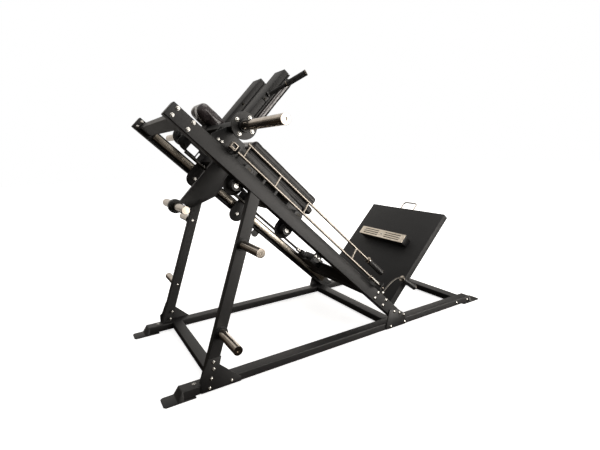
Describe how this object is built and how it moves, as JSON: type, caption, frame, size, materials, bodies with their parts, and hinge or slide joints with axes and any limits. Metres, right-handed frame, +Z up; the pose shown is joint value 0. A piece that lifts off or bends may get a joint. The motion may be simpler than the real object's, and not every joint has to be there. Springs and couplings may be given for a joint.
{
  "type": "leg press machine",
  "caption": "Plate-loaded leg press and hack squat machine with a padded sled on inclined rails, foot platform, weight sleeves and storage pegs.",
  "frame": {"origin": "centre of the four feet, on the floor plane that the feet stand on", "axes": "+X from the high rear end of the rails towards the foot platform; +Y across the machine to its left as seen by a user lying on the sled looking at the platform's far side; +Z up"},
  "size_m": [2.521, 2.056, 1.7692],
  "materials": {
    "powder_coat": "fine-textured black powder coat on steel tube and plate",
    "chrome": "bright chrome plate",
    "track_steel": "bare ground steel running track",
    "black_vinyl": "black grained vinyl upholstery over foam, still in thin clear protective film",
    "grip_rubber": "matt black rubber grip over a powder-coated tube",
    "nylon": "turned black nylon roller",
    "pressed_aluminium": "bright slotted aluminium tread plate"
  },
  "bodies": {
    "frame": {"rear_cross_tube": "powder_coat", "middle_cross_tube": "powder_coat", "front_cross_tube": "powder_coat", "top_cross_tube": "powder_coat", "lower_deck": "powder_coat", "guide_rod": "chrome", "base_rail_left": "powder_coat", "foot_rear_left": "powder_coat", "foot_front_left": "powder_coat", "rail_left": "powder_coat", "rail_gusset_left": "powder_coat", "upright_left": "powder_coat", "upright_gusset_left": "powder_coat", "rail_track_left": "track_steel", "storage_peg_lower_left": "chrome", "storage_peg_upper_left": "chrome", "base_rail_right": "powder_coat", "foot_rear_right": "powder_coat", "foot_front_right": "powder_coat", "rail_right": "powder_coat", "rail_gusset_right": "powder_coat", "upright_right": "powder_coat", "upright_gusset_right": "powder_coat", "rail_track_right": "track_steel", "storage_peg_lower_right": "chrome", "storage_peg_upper_right": "chrome"},
    "sled": {"sled_frame": "powder_coat", "catch_plate": "powder_coat", "back_base": "black_vinyl", "back_pad": "black_vinyl", "head_pad": "black_vinyl", "lower_horn": "chrome", "sled_plate_left": "powder_coat", "horn_flange_left": "powder_coat", "weight_sleeve_left": "chrome", "shoulder_post_left": "powder_coat", "shoulder_pad_left": "black_vinyl", "shoulder_handle_left": "grip_rubber", "sled_plate_right": "powder_coat", "horn_flange_right": "powder_coat", "weight_sleeve_right": "chrome", "shoulder_post_right": "powder_coat", "shoulder_pad_right": "black_vinyl", "shoulder_handle_right": "grip_rubber"},
    "platform": {"foot_platform": "powder_coat", "platform_handle": "chrome", "calf_block": "powder_coat", "calf_tread": "pressed_aluminium"},
    "roller_upper_under_left": {"roller_upper_under_left": "nylon"},
    "roller_upper_over_left": {"roller_upper_over_left": "nylon"},
    "roller_lower_under_left": {"roller_lower_under_left": "nylon"},
    "roller_lower_over_left": {"roller_lower_over_left": "nylon"},
    "roller_upper_under_right": {"roller_upper_under_right": "nylon"},
    "roller_upper_over_right": {"roller_upper_over_right": "nylon"},
    "roller_lower_under_right": {"roller_lower_under_right": "nylon"},
    "roller_lower_over_right": {"roller_lower_over_right": "nylon"},
    "catch_ladder": {"catch_ladder": "chrome", "catch_ladder_grip": "grip_rubber"},
    "release_lever": {"release_lever": "chrome"}
  },
  "joints": [
    {"name": "sled_slide", "type": "slide", "parent": "frame", "child": "sled", "axis": [0.7157, 0, -0.6984], "range_m": [0, 0.7]},
    {"name": "platform_tilt", "type": "hinge", "parent": "frame", "child": "platform", "pos_m": [0.3769, 0, 0.1412], "axis": [0, 1, 0], "range_deg": [0, 15]},
    {"name": "roller_upper_under_left_spin", "type": "hinge", "parent": "sled", "child": "roller_upper_under_left", "pos_m": [-0.75108, 0.411, 1.10153], "axis": [0, 1, 0], "continuous": true},
    {"name": "roller_upper_over_left_spin", "type": "hinge", "parent": "sled", "child": "roller_upper_over_left", "pos_m": [-0.67495, 0.411, 1.17954], "axis": [0, 1, 0], "continuous": true},
    {"name": "roller_lower_under_left_spin", "type": "hinge", "parent": "sled", "child": "roller_lower_under_left", "pos_m": [-0.45192, 0.411, 0.8096], "axis": [0, 1, 0], "continuous": true},
    {"name": "roller_lower_over_left_spin", "type": "hinge", "parent": "sled", "child": "roller_lower_over_left", "pos_m": [-0.37579, 0.411, 0.88761], "axis": [0, 1, 0], "continuous": true},
    {"name": "roller_upper_under_right_spin", "type": "hinge", "parent": "sled", "child": "roller_upper_under_right", "pos_m": [-0.75108, -0.411, 1.10153], "axis": [0, 1, 0], "continuous": true},
    {"name": "roller_upper_over_right_spin", "type": "hinge", "parent": "sled", "child": "roller_upper_over_right", "pos_m": [-0.67495, -0.411, 1.17954], "axis": [0, 1, 0], "continuous": true},
    {"name": "roller_lower_under_right_spin", "type": "hinge", "parent": "sled", "child": "roller_lower_under_right", "pos_m": [-0.45192, -0.411, 0.8096], "axis": [0, 1, 0], "continuous": true},
    {"name": "roller_lower_over_right_spin", "type": "hinge", "parent": "sled", "child": "roller_lower_over_right", "pos_m": [-0.37579, -0.411, 0.88761], "axis": [0, 1, 0], "continuous": true},
    {"name": "catch_ladder_swing", "type": "hinge", "parent": "frame", "child": "catch_ladder", "pos_m": [-0.32322, -0.545, 0.83839], "axis": [0.7157, 0, -0.6984], "range_deg": [0, 35], "stiffness_Nm_per_rad": 4, "springref_deg": -28.65},
    {"name": "release_lever_pull", "type": "hinge", "parent": "frame", "child": "release_lever", "pos_m": [0.25513, -0.466, 0.26842], "axis": [0, 1, 0], "range_deg": [-8, 35]}
  ],
  "couplings": [
    {"joint": "roller_upper_under_left_spin", "follows": "sled_slide", "rad_per_m": -29.412},
    {"joint": "roller_upper_over_left_spin", "follows": "sled_slide", "rad_per_m": 29.412},
    {"joint": "roller_lower_under_left_spin", "follows": "sled_slide", "rad_per_m": -29.412},
    {"joint": "roller_lower_over_left_spin", "follows": "sled_slide", "rad_per_m": 29.412},
    {"joint": "roller_upper_under_right_spin", "follows": "sled_slide", "rad_per_m": -29.412},
    {"joint": "roller_upper_over_right_spin", "follows": "sled_slide", "rad_per_m": 29.412},
    {"joint": "roller_lower_under_right_spin", "follows": "sled_slide", "rad_per_m": -29.412},
    {"joint": "roller_lower_over_right_spin", "follows": "sled_slide", "rad_per_m": 29.412}
  ]
}
